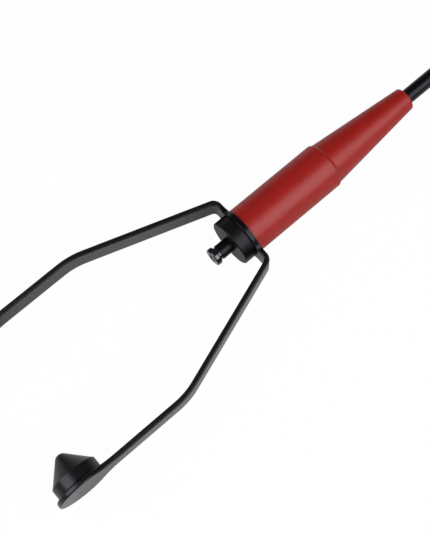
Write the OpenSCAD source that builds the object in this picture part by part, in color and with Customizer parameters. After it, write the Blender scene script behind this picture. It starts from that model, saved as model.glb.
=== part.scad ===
// Bobbin holder for fly tying. A turned handle carries the thread tube, and a spring strip bent
// into a yoke holds a spool of tying thread between two cone feet.
// X runs along the handle towards the tube's tip, Y across the two arms and Z across the strip.
// The origin is on the handle's axis at the barrel's lower face. Lengths are in millimetres.

/* [Barrel] */
// Outside diameter of the barrel, and of the clamp screw's head
barrel_d = 10; // [9:0.5:14]
// Length of the barrel, from the yoke to the nose cone
barrel_l = 21.8; // [18:0.1:40]
// Length of the chamfer at the barrel's upper end
shoulder_l = 0.5; // [0.4:0.1:2]
// Depth of the chamfer at the barrel's upper end
shoulder_h = 0.34; // [0.1:0.02:0.6]

/* [Nose cone] */
// Length of the nose cone's taper
nose_l = 22; // [14:0.1:40]
// Diameter of the nose cone's small end
nose_tip_d = 5; // [4.4:0.1:7]
// Radius on the edge of the small end
nose_round = 0.3; // [0.1:0.05:0.5]
// Diameter of the spigot that screws into the barrel
spigot_d = 6.4; // [5:0.1:7]
// Length of the spigot
spigot_l = 5; // [3:0.5:8]

/* [Thread tube] */
// Outside diameter of the tube
tube_d = 3.15; // [2.9:0.05:3.8]
// Wall of the tube
tube_wall = 0.4; // [0.25:0.05:0.6]
// How far the tube stands out of the nose cone
tube_reach = 30; // [15:1:60]
// How far the tube stands out of the clamp screw's head
tube_tail = 2.8; // [1:0.1:10]
// Chamfer on the tube's ends
tube_edge = 0.12; // [0.05:0.01:0.2]

/* [Ceramic eyelets] */
// Bore that the thread runs through
eyelet_bore_d = 1.3; // [0.8:0.1:1.4]
// How far the flange stands out beyond the tube's wall
flange_lip = 0.325; // [0.1:0.025:0.5]
// Thickness of the flange
flange_l = 1.25; // [0.9:0.05:1.6]
// Radius on the flange's edges
flange_round = 0.35; // [0.1:0.05:0.4]
// How far the collar that sits on the tube's end stands out beyond the tube's bore
collar_lip = 0.2; // [0.05:0.05:0.25]
// Length of the collar between the tube and the flange
collar_l = 0.45; // [0.2:0.05:1.5]
// Length of the eyelet inside the tube
eyelet_seat_l = 3.4; // [2:0.2:6]
// Radius of the trumpet mouth
mouth_r = 0.5; // [0.2:0.05:0.6]

/* [Clamp screw] */
// Thickness of the screw's head
head_l = 2.7; // [2:0.1:6]
// Chamfer on the head's lower edge
head_edge = 0.2; // [0.05:0.05:0.5]
// Diameter of the screw's thread
screw_d = 6; // [5:0.5:7]
// Length of thread inside the barrel
screw_l = 6; // [4:0.5:8]

/* [Yoke strip] */
// Thickness of the spring strip
strip_t = 1.1; // [0.6:0.1:1.6]
// Width of the spring strip
strip_w = 5.1; // [3:0.1:6.5]
// How far the clamped ring stands out beyond the barrel
ring_lip = 0.4; // [0.1:0.1:1.5]
// Radius between the ring and the straight ears
ear_fillet = 1.5; // [0.5:0.1:3]
// From the barrel's side to the corner of the shoulder bend
shoulder_out = 2.85; // [2:0.05:6]
// Inside radius of the shoulder bend
shoulder_r = 1; // [0.5:0.1:1.6]
// From the handle's axis to the middle of a lower leg
spread = 17.8; // [14:0.1:26]
// From the barrel's lower face back to the kink
kink_x = 29.6; // [22:0.05:45]
// Radius of the kink at the middle of the strip
kink_r = 16; // [6:1:30]
// Length of a lower leg, from the kink to the pad's centre
leg_l = 25.25; // [18:0.25:40]
// Diameter of the pad that carries a cone foot
pad_d = 11.4; // [9:0.2:16]
// Radius where the leg widens into the pad
pad_fillet = 6; // [2:0.5:10]
// From the shoulder bend along the leg to the line that the arm flexes about
flex_at = 7; // [3:0.5:14]

/* [Cone feet] */
// Diameter of a cone foot at its base
cone_d = 9.7; // [8:0.1:12]
// Height of the straight rim at the base
cone_rim_l = 2.4; // [1.8:0.1:3]
// Chamfer on the base's edge
cone_edge = 0.1; // [0.05:0.05:0.6]
// How far the rim stands out beyond the foot of the taper
cone_step = 0.15; // [0.05:0.05:0.4]
// Height of the taper above the rim
cone_l = 4.55; // [4:0.05:9]
// Radius of the rounded point
cone_tip_r = 1.5; // [0.8:0.1:2]

/* [Cone studs] */
// Diameter of the stud that a cone foot turns on
stud_d = 3; // [2:0.1:3.2]
// How far the stud's head stands out beyond its shank
stud_lip = 0.35; // [0.15:0.05:0.5]
// Length of the shank under the head
stud_shank_l = 1.9; // [1.4:0.1:2.2]
// Length of the head, half of it a lead-in chamfer
stud_head_l = 1.2; // [0.8:0.1:1.4]

/* [Clearances] */
// Radial gap of a bonded or screwed fit
fit_gap = 0.02; // [0.01:0.01:0.05]
// Radial gap between the screw and the ring's hole
ring_gap = 0.1; // [0.05:0.05:0.3]
// Spare depth at the end of a blind socket
socket_gap = 0.4; // [0.1:0.1:1]
// Gap at the line that an arm flexes about
flex_gap = 0.03; // [0.02:0.01:0.1]
// Radial running gap between a stud and its cone foot
turn_gap = 0.06; // [0.03:0.01:0.1]
// End play of a cone foot on its stud
end_gap = 0.1; // [0.05:0.05:0.2]

/* [Hidden] */
$fn = 96;

// Radii of the turned handle
barrel_r = barrel_d / 2;
joint_r = barrel_r - shoulder_h;
nose_tip_r = nose_tip_d / 2;
tube_r = tube_d / 2;
tube_hole_r = tube_r + fit_gap;
tube_bore_r = tube_r - tube_wall;
screw_r = screw_d / 2;
spigot_r = spigot_d / 2;

// Places along the handle
head_x = -strip_t - head_l;
tail_x = head_x - tube_tail;
nose_x = barrel_l + nose_l;
tip_x = nose_x + tube_reach;

// The edge of the nose's small end: a round that touches the taper and the end face
taper = (joint_r - nose_tip_r) / nose_l;
taper_slant = sqrt(1 + taper * taper);
round_x = nose_l - nose_round;
round_r = joint_r - taper * round_x - nose_round * taper_slant;

// The strip seen along Z: the leg leans out by lean, and both bends turn on arcs that meet it
mid = strip_t / 2;
shoulder_y = barrel_r + shoulder_out;
lean = atan2(spread - shoulder_y, kink_x - mid);
turn = 90 - lean;
bend_r = shoulder_r + mid;
bend_centre = [-mid - bend_r, shoulder_y - bend_r * tan(turn / 2)];
kink_centre = [-kink_x - kink_r * tan(lean / 2), spread - kink_r];
leg_dir = [-cos(lean), sin(lean)];
arc_end = [cos(turn), sin(turn)];
leg_start = bend_centre + bend_r * arc_end;
leg_end = kink_centre + kink_r * arc_end;
flex_point = leg_start + flex_at * leg_dir;
pad_x = kink_x + leg_l;

// The rounded end that an arm turns on is this share of the strip's thickness
knuckle_share = 0.68;
knuckle_r = knuckle_share * strip_t;

// The ring, the pads and the fillets beside them
ring_r = barrel_r + ring_lip;
pad_r = pad_d / 2;
half_w = strip_w / 2;

// The cone foot's point: the flank stands on the rim and touches the round
cone_r = cone_d / 2;
point_y = end_gap + cone_rim_l + cone_l - cone_tip_r;
flank_base = [cone_r - cone_step, end_gap + cone_rim_l];
flank_run = norm([flank_base[0], point_y - flank_base[1]]);
flank_angle = atan2(point_y - flank_base[1], flank_base[0]) + asin(cone_tip_r / flank_run);
flank_touch = [cone_tip_r * sin(flank_angle), point_y + cone_tip_r * cos(flank_angle)];
stud_r = stud_d / 2;
stud_head_r = stud_r + stud_lip;
cap_l = stud_head_l / 2;
throat_l = stud_shank_l - end_gap;
socket_l = stud_shank_l + stud_head_l + socket_gap;

// Turns an outline, with the radius across and X upwards, about the handle's axis
module turned() {
    rotate([0, 90, 0])
        rotate_extrude()
            children();
}

// Red anodised barrel: bored for the tube, threaded below for the screw and above for the nose
module barrel() {
    screw_end = screw_l + socket_gap;
    socket_x = barrel_l - spigot_l - socket_gap;
    color("#a3302a")
        turned()
            polygon([
                [tube_hole_r, screw_end], [screw_r + fit_gap, screw_end], [screw_r + fit_gap, 0],
                [barrel_r, 0], [barrel_r, barrel_l - shoulder_l], [joint_r, barrel_l],
                [spigot_r + fit_gap, barrel_l], [spigot_r + fit_gap, socket_x], [tube_hole_r, socket_x]
            ]);
}

// Red anodised nose cone: a slim taper with a spigot that screws into the barrel
module nose_cone() {
    color("#a3302a")
        translate([barrel_l, 0, 0])
            turned()
                union() {
                    polygon([
                        [tube_hole_r, -spigot_l], [spigot_r, -spigot_l], [spigot_r, 0], [joint_r, 0],
                        [round_r + nose_round / taper_slant, round_x + nose_round * taper / taper_slant],
                        [round_r, nose_l], [tube_hole_r, nose_l]
                    ]);
                    translate([round_r, round_x])
                        circle(nose_round);
                }
}

// Black steel tube: runs through the whole handle and stands out at both ends
module guide_tube() {
    color("#1c1c1e")
        turned()
            polygon([
                [tube_bore_r, tail_x], [tube_r - tube_edge, tail_x], [tube_r, tail_x + tube_edge],
                [tube_r, tip_x - tube_edge], [tube_r - tube_edge, tip_x], [tube_bore_r, tip_x]
            ]);
}

// Ceramic eyelet with its tube end at zero: a spigot, a collar, a rounded flange and a trumpet mouth
module eyelet() {
    bore_r = eyelet_bore_d / 2;
    rim_at = tube_r + flange_lip - flange_round;
    face = collar_l + flange_l;
    color("#0c0c0e")
        turned()
            difference() {
                union() {
                    translate([bore_r, -eyelet_seat_l])
                        square([tube_bore_r - fit_gap - bore_r, eyelet_seat_l + face]);
                    translate([bore_r, 0])
                        square([tube_bore_r + collar_lip - bore_r, face]);
                    translate([bore_r, collar_l])
                        square([rim_at - bore_r, flange_l]);
                    translate([bore_r, collar_l + flange_round])
                        square([tube_r + flange_lip - bore_r, flange_l - 2 * flange_round]);
                    for (at = [collar_l + flange_round, face - flange_round])
                        translate([rim_at, at])
                            circle(flange_round);
                }
                difference() {
                    translate([bore_r, face - mouth_r])
                        square(mouth_r);
                    translate([bore_r + mouth_r, face - mouth_r])
                        circle(mouth_r);
                }
            }
}

module tip_eyelet() {
    translate([tip_x, 0, 0])
        eyelet();
}

module inlet_eyelet() {
    translate([tail_x, 0, 0])
        mirror([1, 0, 0])
            eyelet();
}

// Black clamp screw: a plain round head and a hollow threaded stem that pinches the yoke's ring
module clamp_screw() {
    color("#2a2b2e")
        turned()
            polygon([
                [tube_hole_r, head_x], [barrel_r - head_edge, head_x], [barrel_r, head_x + head_edge],
                [barrel_r, -strip_t], [screw_r, -strip_t], [screw_r, screw_l], [tube_hole_r, screw_l]
            ]);
}

// The side of the line that an arm flexes about on which the arm lies, seen along Z
module past_flex() {
    translate(flex_point)
        rotate(180 - lean)
            translate([0, -pad_x])
                square([pad_x, 2 * pad_x]);
}

// Slice of a disc of radius r about a centre, between two angles
module slice(centre, r, from, to) {
    half = (from + to) / 2;
    reach = 2 * r / cos(half - from);
    translate(centre)
        intersection() {
            circle(r);
            polygon([
                [0, 0], reach * [cos(from), sin(from)],
                reach * [cos(half), sin(half)], reach * [cos(to), sin(to)]
            ]);
        }
}

// Area inside the shoulder bends, seen along Z, out to a distance from the strip's middle
module inside_shoulders(out) {
    corner = [bend_centre + [bend_r + out, 0], leg_start + out * arc_end, leg_end + out * arc_end];
    flip = [for (p = corner) [p[0], -p[1]]];
    polygon([each corner, flip[2], flip[1], flip[0]]);
    for (side = [0, 1])
        mirror([0, side])
            slice(bend_centre, bend_r + out, 0, turn);
}

// Area inside the left arm, seen along Z, out to a distance from the strip's middle
module inside_arm(out) {
    polygon([
        [leg_start[0], 0], leg_start + out * arc_end, leg_end + out * arc_end,
        [kink_centre[0], spread + out], [-pad_x, spread + out], [-pad_x, 0]
    ]);
    slice(kink_centre, kink_r + out, turn, turn + lean);
}

// Corner filled between a disc of radius r about the origin and a straight bar along X
module corner_fill(r, fillet) {
    along = sqrt(pow(r + fillet, 2) - pow(half_w + fillet, 2));
    touch_share = r / (r + fillet);
    difference() {
        polygon([
            [0, 0], [along, 0], [along, half_w], touch_share * [along, half_w + fillet]
        ]);
        translate([along, half_w + fillet])
            circle(fillet);
    }
}

// Middle of the black spring strip: the clamped ring, its ears, the shoulder bends and leg roots
module yoke_bridge() {
    color("#303134")
        difference() {
            union() {
                linear_extrude(strip_w, center = true)
                    difference() {
                        inside_shoulders(mid);
                        inside_shoulders(-mid);
                        for (side = [0, 1])
                            mirror([0, side]) {
                                past_flex();
                                translate(flex_point)
                                    circle(knuckle_r + flex_gap);
                            }
                    }
                translate([-strip_t, 0, 0])
                    rotate([90, 0, 90])
                        linear_extrude(strip_t) {
                            circle(ring_r);
                            for (side = [0, 1], edge = [0, 1])
                                mirror([side, 0])
                                    mirror([0, edge])
                                        corner_fill(ring_r, ear_fillet);
                        }
            }
            translate([-2 * strip_t, 0, 0])
                rotate([0, 90, 0])
                    cylinder(r = screw_r + ring_gap, h = 3 * strip_t);
        }
}

// One arm of the black spring strip: the leg with its kink, and the pad at its end
module arm() {
    color("#303134")
        union() {
            linear_extrude(strip_w, center = true)
                intersection() {
                    difference() {
                        inside_arm(mid);
                        inside_arm(-mid);
                    }
                    union() {
                        past_flex();
                        translate(flex_point)
                            circle(knuckle_r);
                    }
                }
            translate([-pad_x, spread, 0])
                rotate([90, 0, 0])
                    linear_extrude(strip_t, center = true) {
                        circle(pad_r);
                        for (edge = [0, 1])
                            mirror([0, edge])
                                corner_fill(pad_r, pad_fillet);
                    }
        }
}

module arm_left() {
    arm();
}

module arm_right() {
    mirror([0, 1, 0])
        arm();
}

// Turns an outline about the line through the left pad's centre, from its inner face inwards
module on_pad() {
    translate([-pad_x, spread - mid, 0])
        rotate([90, 0, 0])
            rotate_extrude()
                children();
}

// Steel stud welded to the pad's inner face: a shank with a chamfered snap head
module stud() {
    head_end = stud_shank_l + stud_head_l;
    color("#8c8d90")
        on_pad()
            polygon([
                [0, 0], [stud_r, 0], [stud_r, stud_shank_l], [stud_head_r, stud_shank_l],
                [stud_head_r, head_end - cap_l], [stud_head_r - cap_l, head_end], [0, head_end]
            ]);
}

module stud_left() {
    stud();
}

module stud_right() {
    mirror([0, 1, 0])
        stud();
}

// Black plastic cone foot: snaps over the stud and turns on it
module cone_foot() {
    color("#242427")
        on_pad()
            difference() {
                union() {
                    polygon([
                        [0, end_gap], [cone_r - cone_edge, end_gap], [cone_r, end_gap + cone_edge],
                        [cone_r, flank_base[1]], flank_base, flank_touch, [0, flank_touch[1]]
                    ]);
                    intersection() {
                        translate([0, point_y])
                            circle(cone_tip_r);
                        translate([0, point_y])
                            square(cone_tip_r);
                    }
                }
                translate([0, end_gap])
                    square([stud_r + turn_gap, throat_l - end_gap]);
                translate([0, throat_l])
                    square([stud_head_r + turn_gap, socket_l - throat_l]);
            }
}

module cone_left() {
    cone_foot();
}

module cone_right() {
    mirror([0, 1, 0])
        cone_foot();
}

barrel();
nose_cone();
guide_tube();
tip_eyelet();
inlet_eyelet();
clamp_screw();
yoke_bridge();
arm_left();
arm_right();
stud_left();
stud_right();
cone_left();
cone_right();
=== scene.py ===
# Looks of a fly-tying bobbin holder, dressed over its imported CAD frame. The script follows the tool
# as it is put together: the turned handle, the thread tube with its eyelets, the clamp screw, the
# spring yoke, and the cone feet on their studs. Sizes are in millimetres along the handle's axis.
import math

import bpy
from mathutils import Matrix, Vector


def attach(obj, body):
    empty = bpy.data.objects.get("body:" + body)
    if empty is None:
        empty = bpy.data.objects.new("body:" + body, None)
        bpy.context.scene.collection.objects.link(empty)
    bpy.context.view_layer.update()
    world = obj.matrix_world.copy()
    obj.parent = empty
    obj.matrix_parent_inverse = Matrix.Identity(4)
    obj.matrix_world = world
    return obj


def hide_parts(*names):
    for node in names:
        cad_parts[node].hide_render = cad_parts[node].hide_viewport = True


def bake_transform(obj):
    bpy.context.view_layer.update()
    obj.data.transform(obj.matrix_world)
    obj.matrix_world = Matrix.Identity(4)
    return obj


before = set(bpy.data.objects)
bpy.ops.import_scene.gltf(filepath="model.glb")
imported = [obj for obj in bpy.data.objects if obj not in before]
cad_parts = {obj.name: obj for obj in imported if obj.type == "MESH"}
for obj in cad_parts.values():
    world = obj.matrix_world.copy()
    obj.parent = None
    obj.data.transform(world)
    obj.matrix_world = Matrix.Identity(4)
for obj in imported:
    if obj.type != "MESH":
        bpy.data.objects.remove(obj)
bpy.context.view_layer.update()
scene = bpy.context.scene
X, Y, Z = Vector((1, 0, 0)), Vector((0, 1, 0)), Vector((0, 0, 1))


# Barrel. A length of aluminium bar, turned to 10 mm with a small chamfer at the nose end, drilled
# through for the tube, threaded at both ends, bead blasted and anodised red. Its edges are broken
# by the blasting, so no corner is sharp.
BARREL_R = 5.0
BARREL_L = 21.8
CHAMFER_L = 0.5
JOINT_R = 4.66
TUBE_HOLE_R = 1.595
STEM_HOLE_R = 3.02
STEM_HOLE_L = 6.4
SPIGOT_HOLE_R = 3.22
SPIGOT_HOLE_X = 16.4
BLASTED_EDGE = 0.08
CHAMFER_EDGE = 0.3
JOINT_EDGE = 0.06
HOLE_EDGE = 0.1
ARC_STEP = math.radians(12)


def rounded(corners, closed):
    """Points and outward normals of an outline whose corners (along, radius, round) are rounded."""
    points = []
    count = len(corners)
    for i, (along, radius, edge) in enumerate(corners):
        here = Vector((along, radius))
        before = here - Vector(corners[i - 1][:2])
        after = Vector(corners[(i + 1) % count][:2]) - here
        if not closed and i == 0:
            points.append((here, Vector((-after.y, after.x)).normalized()))
            continue
        if not closed and i == count - 1:
            points.append((here, Vector((-before.y, before.x)).normalized()))
            continue
        before.normalize()
        after.normalize()
        bend = math.atan2(before.x * after.y - before.y * after.x, before.dot(after))
        side = 1 if bend < 0 else -1
        start = here - before * edge * math.tan(abs(bend) / 2)
        facing = Vector((-before.y, before.x))
        centre = start - facing * edge * side
        steps = max(2, math.ceil(abs(bend) / ARC_STEP))
        for k in range(steps + 1):
            a = bend * k / steps
            turned = Vector((facing.x * math.cos(a) - facing.y * math.sin(a),
                             facing.x * math.sin(a) + facing.y * math.cos(a)))
            points.append((centre + turned * edge * side, turned))
    return points


def mesh_piece(name, points, normals, faces):
    """Smooth-shaded object from points in millimetres, with a normal for each point."""
    mesh = bpy.data.meshes.new(name)
    mesh.from_pydata([p / 1000 for p in points], [], faces, shade_flat=False)
    mesh.validate()
    mesh.normals_split_custom_set_from_vertices(normals)
    piece = bpy.data.objects.new(name, mesh)
    scene.collection.objects.link(piece)
    return piece


def turned_piece(name, corners, closed, start=Vector(), axis=X, steps=160):
    """Turns an outline of (along, radius, round) corners about a line from start along axis."""
    across = Z if abs(axis.z) < 0.5 else X
    third = axis.cross(across)
    points, normals, faces, rings = [], [], [], []
    for place, facing in rounded(corners, closed):
        turns = steps if place.y > 1e-4 else 1
        rings.append((len(points), turns))
        for k in range(turns):
            a = 2 * math.pi * k / steps
            out = across * math.cos(a) + third * math.sin(a)
            points.append(start + axis * place.x + out * place.y)
            normals.append((axis * facing.x + out * facing.y * (turns > 1)).normalized())
    pairs = list(zip(rings, rings[1:]))
    if closed:
        pairs.append((rings[-1], rings[0]))
    for (a, turns_a), (b, turns_b) in pairs:
        for k in range(steps):
            n = (k + 1) % steps
            if turns_a == 1:
                faces.append((a, b + n, b + k))
            elif turns_b == 1:
                faces.append((a + k, a + n, b))
            else:
                faces.append((a + k, a + n, b + n, b + k))
    return mesh_piece(name, points, normals, faces)


def linear(hex_colour):
    """Linear colour of an sRGB hex value."""
    parts = [int(hex_colour[i:i + 2], 16) / 255 for i in (1, 3, 5)]
    return [c / 12.92 if c <= 0.04045 else ((c + 0.055) / 1.055) ** 2.4 for c in parts] + [1]


def add_node(tree, kind, links=None, **settings):
    """Adds a node. Links hold values, or outputs of other nodes, for its inputs."""
    made = tree.nodes.new(kind)
    for key, value in settings.items():
        setattr(made, key, value)
    for key, value in (links or {}).items():
        if isinstance(value, bpy.types.NodeSocket):
            tree.links.new(value, made.inputs[key])
        else:
            made.inputs[key].default_value = value
    return made


def new_material(name):
    """A material with an empty tree, and the places in millimetres that its patterns follow."""
    material = bpy.data.materials.new(name)
    material.use_nodes = True
    tree = material.node_tree
    tree.nodes.clear()
    place = add_node(tree, "ShaderNodeTexCoord").outputs["Object"]
    in_mm = add_node(tree, "ShaderNodeVectorMath", {0: place, 1: (1000, 1000, 1000)},
                     operation="MULTIPLY")
    return material, tree, in_mm.outputs["Vector"]


# Bead-blasted red anodised aluminium: the dyed oxide scatters like a deep red metal under a clear
# skin, so it glows red face on and turns pale where it mirrors the room at a low angle.
RED = "#890901"
RED_DEEP = "#820801"
# The blasting leaves dimples of about 0.1 mm, drawn three times as coarse so that they show.
DIMPLE_MM = 0.3
red_anodised, tree, mm = new_material("red_anodised_aluminium")
dimples = add_node(tree, "ShaderNodeTexNoise", {"Vector": mm, "Scale": 1 / DIMPLE_MM, "Detail": 2.0})
clouds = add_node(tree, "ShaderNodeTexNoise", {"Vector": mm, "Scale": 0.35, "Detail": 2.0})
spread = add_node(tree, "ShaderNodeMapRange", {
    "Value": clouds.outputs["Fac"], "From Min": 0.3, "From Max": 0.7})
dyed = add_node(tree, "ShaderNodeMix", {
    "Factor": spread.outputs["Result"], "A": linear(RED_DEEP), "B": linear(RED)}, data_type="RGBA")
speck = add_node(tree, "ShaderNodeMapRange", {
    "Value": dimples.outputs["Fac"], "From Min": 0.3, "From Max": 0.7, "To Min": 0.55, "To Max": 0.65})
bump = add_node(tree, "ShaderNodeBump", {
    "Height": dimples.outputs["Fac"], "Strength": 0.25, "Distance": 0.00004})
skin = add_node(tree, "ShaderNodeBsdfPrincipled", {
    "Base Color": dyed.outputs["Result"], "Metallic": 0.1, "Roughness": speck.outputs["Result"],
    "Specular IOR Level": 0.15, "Normal": bump.outputs["Normal"],
    "Coat Weight": 0.31, "Coat Roughness": 0.37, "Coat IOR": 1.65})
add_node(tree, "ShaderNodeOutputMaterial", {"Surface": skin.outputs["BSDF"]})

barrel = turned_piece("barrel_turned", [
    (0, BARREL_R, BLASTED_EDGE), (BARREL_L - CHAMFER_L, BARREL_R, CHAMFER_EDGE),
    (BARREL_L, JOINT_R, JOINT_EDGE), (BARREL_L, SPIGOT_HOLE_R, HOLE_EDGE),
    (SPIGOT_HOLE_X, SPIGOT_HOLE_R, HOLE_EDGE), (SPIGOT_HOLE_X, TUBE_HOLE_R, HOLE_EDGE),
    (STEM_HOLE_L, TUBE_HOLE_R, HOLE_EDGE), (STEM_HOLE_L, STEM_HOLE_R, HOLE_EDGE),
    (0, STEM_HOLE_R, HOLE_EDGE)], closed=True)
barrel.data.materials.append(red_anodised)
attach(barrel, "handle")
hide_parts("barrel")


# Nose cone. The same bar, turned to a slim taper and finished with the barrel, with a spigot that
# screws into it. A fine dark joint line shows where the two meet, because both edges are broken.
NOSE_L = 22.0
NOSE_TIP_R = 2.5
SPIGOT_R = 3.2
SPIGOT_L = 5.0
SPIGOT_EDGE = 0.2
NOSE_EDGE = 0.3
INNER_CORNER = 0.05

nose = turned_piece("nose_cone_turned", [
    (-SPIGOT_L, SPIGOT_R, SPIGOT_EDGE), (0, SPIGOT_R, INNER_CORNER), (0, JOINT_R, JOINT_EDGE),
    (NOSE_L, NOSE_TIP_R, NOSE_EDGE), (NOSE_L, TUBE_HOLE_R, BLASTED_EDGE),
    (-SPIGOT_L, TUBE_HOLE_R, HOLE_EDGE)], closed=True, start=X * BARREL_L)
nose.data.materials.append(red_anodised)
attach(nose, "handle")
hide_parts("nose_cone")


# Thread tube. Drawn steel tube of 3.15 mm, bonded through the whole handle, with its ends faced
# and lightly chamfered, in a satin black finish.
TUBE_R = 1.575
TUBE_BORE_R = 1.175
TAIL_X = -6.6
TIP_X = 73.8
TUBE_EDGE = 0.12
EDGE_CORNER = 0.03

# Satin black oxide on drawn steel: a smooth, even black with a soft bright line along the tube.
# Like the other blacks here, it mirrors white light slightly blue.
COOL_TINT = (0.84, 0.84, 0.95, 1)
black_tube, tree, mm = new_material("black_oxide_steel")
stretched = add_node(tree, "ShaderNodeVectorMath", {0: mm, 1: (0.25, 6.0, 6.0)}, operation="MULTIPLY")
drawn = add_node(tree, "ShaderNodeTexNoise", {
    "Vector": stretched.outputs["Vector"], "Scale": 1.0, "Detail": 3.0})
streak = add_node(tree, "ShaderNodeMapRange", {
    "Value": drawn.outputs["Fac"], "To Min": 0.27, "To Max": 0.37})
bump = add_node(tree, "ShaderNodeBump", {
    "Height": drawn.outputs["Fac"], "Strength": 0.1, "Distance": 0.00002})
skin = add_node(tree, "ShaderNodeBsdfPrincipled", {
    "Base Color": linear("#020203"), "Roughness": streak.outputs["Result"], "IOR": 1.5,
    "Specular IOR Level": 0.21, "Specular Tint": COOL_TINT, "Normal": bump.outputs["Normal"]})
add_node(tree, "ShaderNodeOutputMaterial", {"Surface": skin.outputs["BSDF"]})

tube = turned_piece("thread_tube", [
    (TAIL_X, TUBE_R - TUBE_EDGE, EDGE_CORNER), (TAIL_X + TUBE_EDGE, TUBE_R, EDGE_CORNER),
    (TIP_X - TUBE_EDGE, TUBE_R, EDGE_CORNER), (TIP_X, TUBE_R - TUBE_EDGE, EDGE_CORNER),
    (TIP_X, TUBE_BORE_R, INNER_CORNER), (TAIL_X, TUBE_BORE_R, INNER_CORNER)], closed=True)
tube.data.materials.append(black_tube)
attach(tube, "handle")
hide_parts("guide_tube")


# Ceramic eyelets. A polished insert bonded into each end of the tube: a spigot, a collar that sits
# on the tube's end, a flange with round edges, and a trumpet mouth that the thread slides over
# without wear.
EYELET_BORE_R = 0.65
EYELET_SEAT_R = 1.155
EYELET_SEAT_L = 3.4
COLLAR_R = 1.375
COLLAR_L = 0.45
COLLAR_CORNER = 0.06
FLANGE_R = 1.9
FLANGE_L = 1.25
FLANGE_ROUND = 0.35
MOUTH_ROUND = 0.5

# Black zirconia ceramic, fired and polished like glass: nearly black, with small sharp reflections.
black_ceramic, tree, mm = new_material("polished_black_ceramic")
fired = add_node(tree, "ShaderNodeTexNoise", {"Vector": mm, "Scale": 2.0, "Detail": 2.0})
tone = add_node(tree, "ShaderNodeMix", {
    "Factor": fired.outputs["Fac"], "A": linear("#060608"), "B": linear("#0C0C0F")}, data_type="RGBA")
skin = add_node(tree, "ShaderNodeBsdfPrincipled", {
    "Base Color": tone.outputs["Result"], "Roughness": 0.12, "IOR": 1.95,
    "Specular IOR Level": 0.36, "Specular Tint": COOL_TINT})
add_node(tree, "ShaderNodeOutputMaterial", {"Surface": skin.outputs["BSDF"]})

for name, node_name, start, axis in (
        ("eyelet_inlet", "inlet_eyelet", X * TAIL_X, -X), ("eyelet_tip", "tip_eyelet", X * TIP_X, X)):
    eyelet = turned_piece(name, [
        (-EYELET_SEAT_L, EYELET_SEAT_R, HOLE_EDGE), (0, EYELET_SEAT_R, EDGE_CORNER),
        (0, COLLAR_R, INNER_CORNER), (COLLAR_L, COLLAR_R, COLLAR_CORNER),
        (COLLAR_L, FLANGE_R, FLANGE_ROUND), (COLLAR_L + FLANGE_L, FLANGE_R, FLANGE_ROUND),
        (COLLAR_L + FLANGE_L, EYELET_BORE_R, MOUTH_ROUND), (-EYELET_SEAT_L, EYELET_BORE_R, HOLE_EDGE)],
        closed=True, start=start, axis=axis)
    eyelet.data.materials.append(black_ceramic)
    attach(eyelet, "handle")
    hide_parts(node_name)


# Clamp screw. A turned aluminium screw with a plain round head as wide as the barrel. Its hollow
# stem goes through the yoke's ring into the barrel and pinches the ring between the two.
HEAD_L = 2.7
STRIP_T = 1.1
HEAD_X = -STRIP_T - HEAD_L
HEAD_EDGE = 0.2
HEAD_CORNER = 0.08
STEM_R = 3.0
STEM_L = 6.0
STEM_EDGE = 0.15

# Satin black anodised aluminium: the dyed oxide hides the metal, and faint rings are left by the
# lathe, about 0.1 mm apart, drawn at twice that pitch so that they show.
RING_MM = 0.2
black_anodised, tree, mm = new_material("black_anodised_aluminium")
grain = add_node(tree, "ShaderNodeTexNoise", {"Vector": mm, "Scale": 4.0, "Detail": 2.0})
across = add_node(tree, "ShaderNodeVectorMath", {0: mm, 1: (0, 1, 1)}, operation="MULTIPLY")
radius = add_node(tree, "ShaderNodeVectorMath", {0: across.outputs["Vector"]}, operation="LENGTH")
waves = add_node(tree, "ShaderNodeMath", {0: radius.outputs["Value"], 1: 2 * math.pi / RING_MM},
                 operation="MULTIPLY")
rings = add_node(tree, "ShaderNodeMath", {0: waves.outputs["Value"]}, operation="SINE")
relief = add_node(tree, "ShaderNodeMath", {0: rings.outputs["Value"], 1: 0.3, 2: grain.outputs["Fac"]},
                  operation="MULTIPLY_ADD")
bump = add_node(tree, "ShaderNodeBump", {
    "Height": relief.outputs["Value"], "Strength": 0.12, "Distance": 0.00003})
speck = add_node(tree, "ShaderNodeMapRange", {
    "Value": grain.outputs["Fac"], "To Min": 0.36, "To Max": 0.46})
skin = add_node(tree, "ShaderNodeBsdfPrincipled", {
    "Base Color": linear("#040405"), "Roughness": speck.outputs["Result"], "IOR": 1.65,
    "Specular IOR Level": 0.14, "Specular Tint": COOL_TINT, "Normal": bump.outputs["Normal"]})
add_node(tree, "ShaderNodeOutputMaterial", {"Surface": skin.outputs["BSDF"]})

screw = turned_piece("clamp_screw_turned", [
    (HEAD_X, TUBE_HOLE_R, HEAD_CORNER), (HEAD_X, BARREL_R - HEAD_EDGE, HEAD_CORNER),
    (HEAD_X + HEAD_EDGE, BARREL_R, HEAD_CORNER), (-STRIP_T, BARREL_R, HEAD_CORNER),
    (-STRIP_T, STEM_R, INNER_CORNER), (STEM_L, STEM_R, STEM_EDGE), (STEM_L, TUBE_HOLE_R, HOLE_EDGE)],
    closed=True)
screw.data.materials.append(black_anodised)
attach(screw, "handle")
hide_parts("clamp_screw")


# Yoke. One strip of spring steel, blanked with a ring in its middle and a round pad at each end,
# tumbled so that its edges are round, then bent at the two shoulders and the two kinks, and
# coated black. It is shown as the ring and two arms, which meet on the straight ears.
HALF_W = 2.55
HALF_T = STRIP_T / 2
RING_R = 5.4
RING_HOLE_R = 3.1
RING_STEPS = 14
EAR_FILLET = 1.5
FILLET_STEPS = 8
RING_EDGES = (0.04, 0.2)
EAR_FROM_Y = 5.0
EAR_CUT_Y = 6.1
TUMBLED_EDGE = 0.28
EDGE_STEPS = 4

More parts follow.
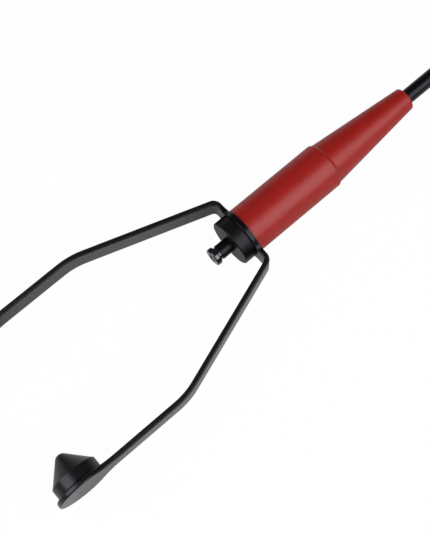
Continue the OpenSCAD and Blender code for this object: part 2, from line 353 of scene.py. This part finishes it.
# Fine matt black electro-coat on spring steel: an even charcoal skin with the faint stipple that
# such a coat has, about 0.15 mm, drawn at twice that size so that it shows.
STIPPLE_MM = 0.3
black_coat, tree, mm = new_material("black_coated_spring_steel")
stipple = add_node(tree, "ShaderNodeTexNoise", {"Vector": mm, "Scale": 1 / STIPPLE_MM, "Detail": 3.0})
drift = add_node(tree, "ShaderNodeTexNoise", {"Vector": mm, "Scale": 0.25, "Detail": 2.0})
tone = add_node(tree, "ShaderNodeMix", {
    "Factor": drift.outputs["Fac"], "A": linear("#060607"), "B": linear("#0A0A0B")}, data_type="RGBA")
speck = add_node(tree, "ShaderNodeMapRange", {
    "Value": stipple.outputs["Fac"], "To Min": 0.26, "To Max": 0.36})
bump = add_node(tree, "ShaderNodeBump", {
    "Height": stipple.outputs["Fac"], "Strength": 0.2, "Distance": 0.00003})
skin = add_node(tree, "ShaderNodeBsdfPrincipled", {
    "Base Color": tone.outputs["Result"], "Roughness": speck.outputs["Result"], "IOR": 1.49,
    "Specular IOR Level": 0.33, "Specular Tint": COOL_TINT, "Normal": bump.outputs["Normal"]})
add_node(tree, "ShaderNodeOutputMaterial", {"Surface": skin.outputs["BSDF"]})


def edge_profile(upper, lower):
    """(inset, height, share of the face's normal) from the upper face round to the lower one."""
    steps = []
    for half, edge in ((1, upper), (-1, lower)):
        for k in range(EDGE_STEPS + 1):
            a = math.pi / 2 * (1 - k / EDGE_STEPS if half > 0 else k / EDGE_STEPS)
            height = half * (HALF_T - edge + edge * math.sin(a))
            steps.append((edge * (1 - math.cos(a)), height, half * math.sin(a)))
    return steps


def ring_outline():
    """(y, z) points and normals round the ring and its ears."""
    quarter = [((EAR_CUT_Y, HALF_W), (0, 1))]
    reach = math.sqrt((RING_R + EAR_FILLET) ** 2 - (HALF_W + EAR_FILLET) ** 2)
    meet = math.atan2(HALF_W + EAR_FILLET, reach)
    for k in range(FILLET_STEPS + 1):
        a = -math.pi / 2 - (math.pi / 2 - meet) * k / FILLET_STEPS
        facing = (-math.cos(a), -math.sin(a))
        place = (reach - EAR_FILLET * facing[0], HALF_W + EAR_FILLET - EAR_FILLET * facing[1])
        quarter.append((place, facing))
    for k in range(1, RING_STEPS + 1):
        a = meet + (math.pi / 2 - meet) * k / RING_STEPS
        quarter.append(((RING_R * math.cos(a), RING_R * math.sin(a)), (math.cos(a), math.sin(a))))
    points = []
    for y_side, z_side in ((1, 1), (-1, 1), (-1, -1), (1, -1)):
        part = quarter if y_side * z_side > 0 else quarter[-2::-1]
        points += [((p[0] * y_side, p[1] * z_side), (n[0] * y_side, n[1] * z_side)) for p, n in part]
    return points


# Clamped flat, the ring keeps crisp edges, which grow round on the ears. Its coat is painted shade:
# darker and less shiny than the arms'.
points, normals, faces, loops = [], [], [], []
around = ring_outline()
for step in range(2 * (EDGE_STEPS + 1)):
    loops.append(len(points))
    for place, facing in around:
        along_ear = min(1, max(0, (abs(place[0]) - EAR_FROM_Y) / (EAR_CUT_Y - EAR_FROM_Y)))
        edges = [crisp + (TUMBLED_EDGE - crisp) * along_ear for crisp in RING_EDGES]
        inset, height, share = edge_profile(*edges)[step]
        flat = math.sqrt(1 - min(1, share * share))
        points.append(Vector((height - HALF_T, place[0] - inset * facing[0],
                              place[1] - inset * facing[1])))
        normals.append((X * share + (Y * facing[0] + Z * facing[1]) * flat).normalized())
for inset, height, share in reversed(edge_profile(HOLE_EDGE, HOLE_EDGE)):
    loops.append(len(points))
    flat = math.sqrt(1 - min(1, share * share))
    for place, _ in around:
        a = math.atan2(place[1], place[0])
        out = Y * math.cos(a) + Z * math.sin(a)
        points.append(X * (height - HALF_T) + out * (RING_HOLE_R + inset))
        normals.append((X * share - out * flat).normalized())
for a, b in zip(loops, loops[1:] + loops[:1]):
    for k in range(len(around)):
        n = (k + 1) % len(around)
        faces.append((a + k, b + k, b + n, a + n))
yoke_ring = mesh_piece("yoke_ring", points, normals, faces)
# Painted shade: a copy of the coat with darker colour and weaker reflection, so that the ring reads as
# shaded
ring_coat_painted_shade = black_coat.copy()
ring_coat_painted_shade.name = "black_coat_painted_shade"
for node_name, socket, value in (
        ("Principled BSDF", "Specular IOR Level", 0.2),
        ("Map Range", "To Min", 0.22), ("Map Range", "To Max", 0.28),
        ("Mix", "A", linear("#030304")), ("Mix", "B", linear("#050506"))):
    node = ring_coat_painted_shade.node_tree.nodes[node_name]
    next(s for s in node.inputs if s.name == socket and s.enabled).default_value = value
yoke_ring.data.materials.append(ring_coat_painted_shade)
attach(yoke_ring, "handle")
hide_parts("yoke_bridge")


# Arms. The two halves of the strip from the ears outwards: the shoulder bend, the leg that leans
# out, the long kink and the straight lower leg with its round pad.
SHOULDER_Y = 7.85
BEND_R = 1.55
KINK_X = -29.6
KINK_R = 16.0
SPREAD = 17.8
PAD_X = -54.85
PAD_R = 5.7
PAD_FILLET = 6.0
BEND_STEPS = 16
KINK_STEPS = 12
LOWER_LEG_STEPS = 15
PAD_FILLET_STEPS = 12
PAD_STEPS = 36
LEAN = math.atan2(SPREAD - SHOULDER_Y, -HALF_T - KINK_X)
TURN = math.pi / 2 - LEAN
BEND_CENTRE = Vector((-HALF_T - BEND_R, SHOULDER_Y - BEND_R * math.tan(TURN / 2)))
KINK_CENTRE = Vector((KINK_X - KINK_R * math.tan(LEAN / 2), SPREAD - KINK_R))
LEG_START = BEND_CENTRE + BEND_R * Vector((math.cos(TURN), math.sin(TURN)))
LEG_END = KINK_CENTRE + KINK_R * Vector((math.cos(TURN), math.sin(TURN)))
EAR_LENGTH = BEND_CENTRE.y - EAR_CUT_Y
LEG_LENGTH = (LEG_END - LEG_START).length
# Length and number of steps of each stretch from the ear to the pad's centre
STAGES = [(EAR_LENGTH, math.ceil(EAR_LENGTH)), (BEND_R * TURN, BEND_STEPS),
          (LEG_LENGTH, math.ceil(LEG_LENGTH)), (KINK_R * LEAN, KINK_STEPS),
          (KINK_CENTRE.x - PAD_X, LOWER_LEG_STEPS)]
PAD_S = sum(length for length, _ in STAGES)


def on_strip(s):
    """Point, direction and outward normal of the left arm's middle line, s along it from the ear."""
    ear, shoulder, leg, kink, _ = (length for length, _ in STAGES)
    if s < ear:
        return Vector((-HALF_T, EAR_CUT_Y + s)), 0
    s -= ear
    if s < shoulder:
        a = s / BEND_R
        return BEND_CENTRE + BEND_R * Vector((math.cos(a), math.sin(a))), a
    s -= shoulder
    if s < leg:
        return LEG_START.lerp(LEG_END, s / leg), TURN
    s -= leg
    if s < kink:
        a = TURN + s / KINK_R
        return KINK_CENTRE + KINK_R * Vector((math.cos(a), math.sin(a))), a
    return KINK_CENTRE + Vector((kink - s, KINK_R)), math.pi / 2


def arm_outline(inset):
    """(s, half width) points and normals of one edge, from the ear to the far end of the pad."""
    places, s = [], 0
    for length, steps in STAGES[:-1]:
        places += [((s + length * k / steps, HALF_W - inset), (0, 1)) for k in range(steps)]
        s += length
    reach = math.sqrt((PAD_R + PAD_FILLET) ** 2 - (HALF_W + PAD_FILLET) ** 2)
    meet = math.atan2(HALF_W + PAD_FILLET, -reach)
    for k in range(LOWER_LEG_STEPS):
        places.append(((s + (PAD_S - reach - s) * k / LOWER_LEG_STEPS, HALF_W - inset), (0, 1)))
    for k in range(PAD_FILLET_STEPS + 1):
        a = -math.pi / 2 + (meet - math.pi / 2) * k / PAD_FILLET_STEPS
        facing = (-math.cos(a), -math.sin(a))
        places.append(((PAD_S - reach - (PAD_FILLET + inset) * facing[0],
                        HALF_W + PAD_FILLET - (PAD_FILLET + inset) * facing[1]), facing))
    for k in range(1, PAD_STEPS + 1):
        a = meet * (1 - k / PAD_STEPS)
        places.append(((PAD_S + (PAD_R - inset) * math.cos(a), (PAD_R - inset) * math.sin(a)),
                       (math.cos(a), math.sin(a))))
    return places


profile = edge_profile(TUMBLED_EDGE, TUMBLED_EDGE)
for side, y_side in (("left", 1), ("right", -1)):
    points, normals, faces = [], [], []
    edges = [arm_outline(inset) for inset, _, _ in profile]
    rows = len(edges[0])
    layers = len(profile)
    for row in range(rows):
        for z_side in (1, -1) if row < rows - 1 else (1,):
            for outline, (_, height, share) in zip(edges, profile):
                (s, width), facing = outline[row]
                middle, a = on_strip(s)
                out = Vector((math.cos(a), y_side * math.sin(a), 0))
                ahead = Vector((-math.sin(a), y_side * math.cos(a), 0))
                flat = math.sqrt(1 - min(1, share * share))
                points.append(Vector((middle.x, y_side * middle.y, z_side * width)) + out * height)
                sideways = ahead * facing[0] + Z * facing[1] * z_side
                normals.append((out * share + sideways * flat).normalized())
    for row in range(rows - 1):
        here = 2 * layers * row
        there = here + 2 * layers
        low_there = there + layers if row < rows - 2 else there
        for k in range(layers - 1):
            faces.append((here + k, here + k + 1, there + k + 1, there + k))
            faces.append((here + layers + k, low_there + k, low_there + k + 1, here + layers + k + 1))
        for k, flip in ((0, False), (layers - 1, True)):
            cell = [here + k, there + k, low_there + k, here + layers + k]
            cell = [c for i, c in enumerate(cell) if c not in cell[:i]]
            faces.append(tuple(cell[::-1] if flip else cell))
    cap = list(range(layers)) + list(range(2 * layers - 1, layers - 1, -1))
    faces.append(tuple(cap[::-1]))
    if y_side > 0:
        faces = [face[::-1] for face in faces]
    arm = mesh_piece(f"{side}_arm", points, normals, faces)
    arm.data.materials.append(black_coat)
    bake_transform(arm)
    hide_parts(f"arm_{side}")


# Cone studs. A small turned steel pin welded to the inner face of each pad, with a snap head that
# the cone foot is pressed over and turns on.
PAD_FACE_Y = SPREAD - HALF_T
STUD_R = 1.5
STUD_HEAD_R = 1.85
SHANK_L = 1.9
STUD_L = 3.1
STUD_EDGE = 0.1
LEAD_IN = 0.6

# Bright turned steel: a plain grey metal with fine lathe lines, about 0.1 mm apart, round the pin.
bright_steel, tree, mm = new_material("bright_turned_steel")
lathe = add_node(tree, "ShaderNodeVectorMath", {0: mm, 1: (0.3, 10.0, 0.3)}, operation="MULTIPLY")
lines = add_node(tree, "ShaderNodeTexNoise", {
    "Vector": lathe.outputs["Vector"], "Scale": 1.0, "Detail": 2.0})
speck = add_node(tree, "ShaderNodeMapRange", {
    "Value": lines.outputs["Fac"], "To Min": 0.22, "To Max": 0.38})
skin = add_node(tree, "ShaderNodeBsdfPrincipled", {
    "Base Color": linear("#A9AAAC"), "Metallic": 1.0, "Roughness": speck.outputs["Result"]})
add_node(tree, "ShaderNodeOutputMaterial", {"Surface": skin.outputs["BSDF"]})

for side, y_side in (("left", 1), ("right", -1)):
    stud = turned_piece(f"{side}_stud", [
        (0, 0, 0), (0, STUD_R, INNER_CORNER), (SHANK_L, STUD_R, INNER_CORNER),
        (SHANK_L, STUD_HEAD_R, INNER_CORNER), (STUD_L - LEAD_IN, STUD_HEAD_R, STUD_EDGE),
        (STUD_L, STUD_HEAD_R - LEAD_IN, STUD_EDGE), (STUD_L, 0, 0)],
        closed=False, start=Vector((PAD_X, y_side * PAD_FACE_Y, 0)), axis=-Y * y_side, steps=64)
    stud.data.materials.append(bright_steel)
    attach(stud, f"arm_{side}")
    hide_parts(f"stud_{side}")


# Cone feet. Turned black acetal, one on the inside of each pad: a straight rim, a tiny step, a taper
# that centres any spool's hole, and a rounded point. Each turns on its stud as thread is drawn off.
FOOT_R = 4.85
FLANK_R = 4.7
FLANK_CORNER = 0.005
RIM_TOP = 2.5
RIM_EDGE = 0.14
FOOT_GAP = 0.1
FOOT_EDGE = 0.1
POINT_TOP = 7.05
POINT_ROUND = 1.5
# A hair less than the full round, so that its arc ends just short of the foot's axis
POINT_ARC = POINT_ROUND * 0.999
# The flank touches the round point at a slope that also takes it to the rim
slant = math.hypot(FLANK_R, POINT_TOP - POINT_ROUND - RIM_TOP)
slope = math.atan2(POINT_TOP - POINT_ROUND - RIM_TOP, FLANK_R) + math.asin(POINT_ROUND / slant)
CROWN_R = FLANK_R - (POINT_TOP - RIM_TOP) / math.tan(slope)
SOCKET_R = 1.56
SNAP_R = 1.91
THROAT_L = 1.8
SOCKET_L = 3.5

# Black acetal off the lathe: a waxy satin black. The tool leaves fine rings about 0.1 mm apart,
# drawn at twice that pitch so that they show.
FEED_MM = 0.2
black_acetal, tree, mm = new_material("turned_black_acetal")
axial = add_node(tree, "ShaderNodeSeparateXYZ", {"Vector": mm})
wobble = add_node(tree, "ShaderNodeTexNoise", {"Vector": mm, "Scale": 1.2, "Detail": 2.0})
waves = add_node(tree, "ShaderNodeMath", {0: axial.outputs["Y"], 1: 2 * math.pi / FEED_MM},
                 operation="MULTIPLY")
rings = add_node(tree, "ShaderNodeMath", {0: waves.outputs["Value"]}, operation="SINE")
relief = add_node(tree, "ShaderNodeMath", {0: rings.outputs["Value"], 1: 0.35, 2: wobble.outputs["Fac"]},
                  operation="MULTIPLY_ADD")
bump = add_node(tree, "ShaderNodeBump", {
    "Height": relief.outputs["Value"], "Strength": 0.12, "Distance": 0.00003})
speck = add_node(tree, "ShaderNodeMapRange", {
    "Value": wobble.outputs["Fac"], "To Min": 0.28, "To Max": 0.38})
skin = add_node(tree, "ShaderNodeBsdfPrincipled", {
    "Base Color": linear("#060607"), "Roughness": speck.outputs["Result"], "IOR": 1.48,
    "Specular IOR Level": 0.33, "Specular Tint": COOL_TINT, "Normal": bump.outputs["Normal"]})
add_node(tree, "ShaderNodeOutputMaterial", {"Surface": skin.outputs["BSDF"]})

for side, y_side in (("left", 1), ("right", -1)):
    foot = turned_piece(f"{side}_cone_foot", [
        (SOCKET_L, 0, 0), (SOCKET_L, SNAP_R, HOLE_EDGE), (THROAT_L, SNAP_R, INNER_CORNER),
        (THROAT_L, SOCKET_R, INNER_CORNER), (FOOT_GAP, SOCKET_R, HOLE_EDGE),
        (FOOT_GAP, FOOT_R - FOOT_EDGE, EDGE_CORNER), (FOOT_GAP + FOOT_EDGE, FOOT_R, EDGE_CORNER),
        (RIM_TOP, FOOT_R, RIM_EDGE), (RIM_TOP, FLANK_R, FLANK_CORNER), (POINT_TOP, CROWN_R, POINT_ARC),
        (POINT_TOP, 0, 0)],
        closed=False, start=Vector((PAD_X, y_side * PAD_FACE_Y, 0)), axis=-Y * y_side, steps=128)
    foot.data.materials.append(black_acetal)
    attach(foot, f"cone_{side}")
    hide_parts(f"cone_{side}")


# Studio. A white table under a light tent: pale low down and dimmer overhead, where the camera
# looks in, with two equal soft boxes, one on the right of the picture and one on its left.
TABLE_Z = -5.76
TABLE_HALF = 3000
table = mesh_piece("table", [
    Vector((x_side * TABLE_HALF, y_side * TABLE_HALF, TABLE_Z))
    for x_side, y_side in ((-1, -1), (1, -1), (1, 1), (-1, 1))], [Z] * 4, [(0, 1, 2, 3)])

# White paper: the camera sees it all but white, with a trace of the tool's shadow, and mirror
# images see it partly so.
WHITE_SEEN = 0.97
WHITE_MIRRORED = 0.18
table_paper, tree, _ = new_material("white_paper")
rays = add_node(tree, "ShaderNodeLightPath")
straight = add_node(tree, "ShaderNodeMath", {
    0: rays.outputs["Is Camera Ray"], 1: rays.outputs["Is Transmission Ray"]}, operation="MAXIMUM")
straight = add_node(tree, "ShaderNodeMath", {0: straight.outputs["Value"], 1: WHITE_SEEN},
                    operation="MULTIPLY")
mirrored = add_node(tree, "ShaderNodeMath", {0: rays.outputs["Is Glossy Ray"], 1: WHITE_MIRRORED},
                    operation="MULTIPLY")
share = add_node(tree, "ShaderNodeMath", {0: straight.outputs["Value"], 1: mirrored.outputs["Value"]},
                 operation="MAXIMUM")
paper = add_node(tree, "ShaderNodeBsdfDiffuse", {"Color": linear("#D2D2D2")})
white = add_node(tree, "ShaderNodeEmission", {"Color": (1, 1, 1, 1), "Strength": 1.0})
mixed = add_node(tree, "ShaderNodeMixShader", {
    0: share.outputs["Value"], 1: paper.outputs["BSDF"], 2: white.outputs["Emission"]})
add_node(tree, "ShaderNodeOutputMaterial", {"Surface": mixed.outputs["Shader"]})
table.data.materials.append(table_paper)

# The tent's wall is white at the horizon and has fallen off 7 degrees above it
TENT_EDGE = 0.12
TENT_OVERHEAD = 0.15
world = bpy.data.worlds.new("light_tent")
scene.world = world
world.use_nodes = True
tree = world.node_tree
tree.nodes.clear()
ray = add_node(tree, "ShaderNodeTexCoord").outputs["Generated"]
up = add_node(tree, "ShaderNodeSeparateXYZ", {"Vector": ray})
fall = add_node(tree, "ShaderNodeMapRange", {
    "Value": up.outputs["Z"], "From Min": 0.0, "From Max": TENT_EDGE,
    "To Min": 1.0, "To Max": TENT_OVERHEAD}, interpolation_type="SMOOTHSTEP")
sky = add_node(tree, "ShaderNodeBackground", {
    "Color": (1, 1, 1, 1), "Strength": fall.outputs["Result"]})
add_node(tree, "ShaderNodeOutputWorld", {"Surface": sky.outputs["Background"]})

# Places and size in metres, power in watts
SOFT_BOXES = (("soft_box_right", (0.12, -0.25, 0.28)), ("soft_box_left", (-0.298, 0.11, 0.327)))
SOFT_BOX_SIZE = 0.36
SOFT_BOX_POWER = 1.8
middle = Vector((-0.01, 0, 0))
for name, place in SOFT_BOXES:
    lamp = bpy.data.lights.new(name, "AREA")
    lamp.shape = "SQUARE"
    lamp.size = SOFT_BOX_SIZE
    lamp.energy = SOFT_BOX_POWER
    holder = bpy.data.objects.new(name, lamp)
    holder.location = place
    holder.rotation_euler = (Vector(place) - middle).to_track_quat("Z", "Y").to_euler()
    holder.visible_camera = False
    scene.collection.objects.link(holder)

# Camera. About 196 mm above the tool and 17 degrees off the upright, turned so that the handle
# rises to the right at 40 degrees, as in the photograph.
PICTURE_LONG_SIDE = 537
FOCAL_PX = 989.65
SENSOR_MM = 36
# The camera's place in metres, and the picture's directions in the frame
EYE = Vector((-0.041844, -0.049068, 0.185088))
RIGHT = Vector((0.757758, -0.651729, -0.032423))
DOWN = Vector((-0.630450, -0.718390, -0.294021))
FORWARD = Vector((0.168329, 0.243238, -0.955249))
camera_data = bpy.data.cameras.new("camera")
camera_data.sensor_width = SENSOR_MM
camera_data.lens = FOCAL_PX * SENSOR_MM / PICTURE_LONG_SIDE
camera_data.clip_start = 0.01
camera_data.clip_end = 20
camera = bpy.data.objects.new("camera", camera_data)
scene.collection.objects.link(camera)
turn = camera.matrix_world.copy()
for column, direction in enumerate((RIGHT, -DOWN, -FORWARD)):
    for row in range(3):
        turn[row][column] = direction[row]
turn.translation = EYE
camera.matrix_world = turn
scene.camera = camera
scene.view_settings.view_transform = "Standard"
